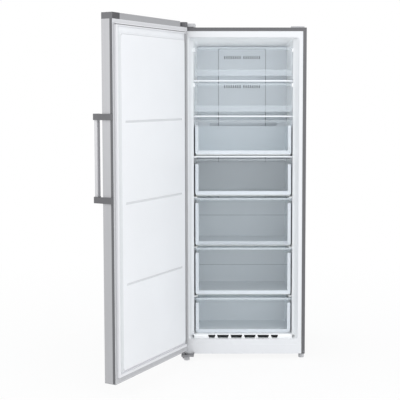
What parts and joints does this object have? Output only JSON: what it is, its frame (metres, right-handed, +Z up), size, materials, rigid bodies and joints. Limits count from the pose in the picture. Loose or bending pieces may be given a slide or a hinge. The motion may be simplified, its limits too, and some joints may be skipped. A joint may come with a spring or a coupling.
{
  "type": "upright freezer",
  "caption": "Tall free-standing freezer with a hinged steel door, bar handle, glass shelves, clear-fronted drawers, flap compartments and a compressor at the back.",
  "frame": {"origin": "centre of the whole footprint with the door open as at rest, at floor level", "axes": "+Z up; +Y from the front of the cabinet towards its back; +X to the right when facing the front"},
  "size_m": [1.0764, 1.2348, 1.854],
  "materials": {
    "grey_inner_panel": null,
    "rear_sheet": null,
    "white_liner": null,
    "galvanised_sheet": null,
    "dark_grey_metal": null,
    "black_enamel": null,
    "black_rubber": null,
    "light_grey_plastic": null,
    "insulation_foam": null,
    "white_rubber": null,
    "stainless_front": null,
    "dark_grey_plastic": null,
    "white_drawer_plastic": null,
    "clear_plastic": null,
    "black_plastic": null,
    "coil_aluminium": null,
    "shelf_glass": null,
    "steel_pipe": null,
    "cabinet_grey_paint": null
  },
  "bodies": {
    "cabinet": {"air_duct_cover": "grey_inner_panel", "back_panel": "rear_sheet", "base_air_grille": "white_liner", "base_pan": "galvanised_sheet", "bottom_hinge": "dark_grey_metal", "compressor": "black_enamel", "compressor_grommets": "black_rubber", "drip_tray": "black_plastic", "evaporator": "coil_aluminium", "evaporator_cover": "grey_inner_panel", "fan_motor": "black_plastic", "foam_insulation": "insulation_foam", "glass_shelf_1": "shelf_glass", "glass_shelf_2": "shelf_glass", "glass_shelf_3": "shelf_glass", "glass_shelf_4": "shelf_glass", "glass_shelf_5": "shelf_glass", "glass_shelf_6": "shelf_glass", "hinge_hole_cover": "light_grey_plastic", "inner_liner": "white_liner", "kick_panel": "white_liner", "mains_inlet": "black_plastic", "refrigerant_pipes": "steel_pipe", "shelf_trim_1": "white_liner", "shelf_trim_2": "white_liner", "shelf_trim_3": "white_liner", "side_panel_left": "cabinet_grey_paint", "side_panel_right": "cabinet_grey_paint", "terminal_box": "black_plastic", "top_hinge": "dark_grey_metal", "top_hinge_cover": "light_grey_plastic", "top_panel": "cabinet_grey_paint"},
    "door": {"door_bottom_cap": "light_grey_plastic", "door_foam": "insulation_foam", "door_gasket": "white_rubber", "door_liner": "white_liner", "door_skin": "stainless_front", "door_top_cap": "light_grey_plastic", "door_top_plug": "dark_grey_plastic", "handle_bar": "stainless_front", "handle_bracket_lower": "dark_grey_metal", "handle_bracket_upper": "dark_grey_metal", "hinge_bushes": "dark_grey_plastic"},
    "flap_upper": {"flap_1": "clear_plastic"},
    "flap_lower": {"flap_2": "clear_plastic"},
    "evaporator_fan": {"fan_rotor": "black_plastic"},
    "rear_roller_left": {"roller_left": "black_plastic"},
    "rear_roller_right": {"roller_right": "black_plastic"},
    "front_foot_left": {"foot_left": "light_grey_plastic"},
    "front_foot_right": {"foot_right": "light_grey_plastic"},
    "drawer_1": {"drawer_1_bin": "white_drawer_plastic", "drawer_1_front": "clear_plastic"},
    "drawer_2": {"drawer_2_bin": "white_drawer_plastic", "drawer_2_front": "clear_plastic"},
    "drawer_3": {"drawer_3_bin": "white_drawer_plastic", "drawer_3_front": "clear_plastic"},
    "drawer_4": {"drawer_4_bin": "white_drawer_plastic", "drawer_4_front": "clear_plastic"},
    "drawer_5": {"drawer_5_bin": "white_drawer_plastic", "drawer_5_front": "clear_plastic"}
  },
  "joints": [
    {"name": "door_hinge", "type": "hinge", "parent": "cabinet", "child": "door", "pos_m": [-0.13483, -0.00913, 0.9575], "axis": [0, 0, -1], "range_deg": [-118.6, 16.4]},
    {"name": "flap_upper_hinge", "type": "hinge", "parent": "cabinet", "child": "flap_upper", "pos_m": [0.19567, 0.09237, 1.711], "axis": [-1, 0, 0], "range_deg": [0, 88]},
    {"name": "flap_lower_hinge", "type": "hinge", "parent": "cabinet", "child": "flap_lower", "pos_m": [0.19567, 0.09237, 1.521], "axis": [-1, 0, 0], "range_deg": [0, 88]},
    {"name": "drawer_1_slide", "type": "slide", "parent": "cabinet", "child": "drawer_1", "axis": [0, -1, 0], "range_m": [0, 0.3]},
    {"name": "drawer_2_slide", "type": "slide", "parent": "cabinet", "child": "drawer_2", "axis": [0, -1, 0], "range_m": [0, 0.3]},
    {"name": "drawer_3_slide", "type": "slide", "parent": "cabinet", "child": "drawer_3", "axis": [0, -1, 0], "range_m": [0, 0.3]},
    {"name": "drawer_4_slide", "type": "slide", "parent": "cabinet", "child": "drawer_4", "axis": [0, -1, 0], "range_m": [0, 0.3]},
    {"name": "drawer_5_slide", "type": "slide", "parent": "cabinet", "child": "drawer_5", "axis": [0, -1, 0], "range_m": [0, 0.22]},
    {"name": "fan_spin", "type": "hinge", "parent": "cabinet", "child": "evaporator_fan", "pos_m": [0.19567, 0.48437, 0.7], "axis": [0, 1, 0], "continuous": true},
    {"name": "roller_left_spin", "type": "hinge", "parent": "cabinet", "child": "rear_roller_left", "pos_m": [-0.10433, 0.58237, 0.0125], "axis": [1, 0, 0], "continuous": true},
    {"name": "roller_right_spin", "type": "hinge", "parent": "cabinet", "child": "rear_roller_right", "pos_m": [0.49567, 0.58237, 0.0125], "axis": [1, 0, 0], "continuous": true},
    {"name": "foot_left_turn", "type": "hinge", "parent": "cabinet", "child": "front_foot_left", "pos_m": [-0.11733, 0.01237, 0.02], "axis": [0, 0, 1], "continuous": true},
    {"name": "foot_right_turn", "type": "hinge", "parent": "cabinet", "child": "front_foot_right", "pos_m": [0.52167, 0.06937, 0.02], "axis": [0, 0, 1], "continuous": true}
  ]
}
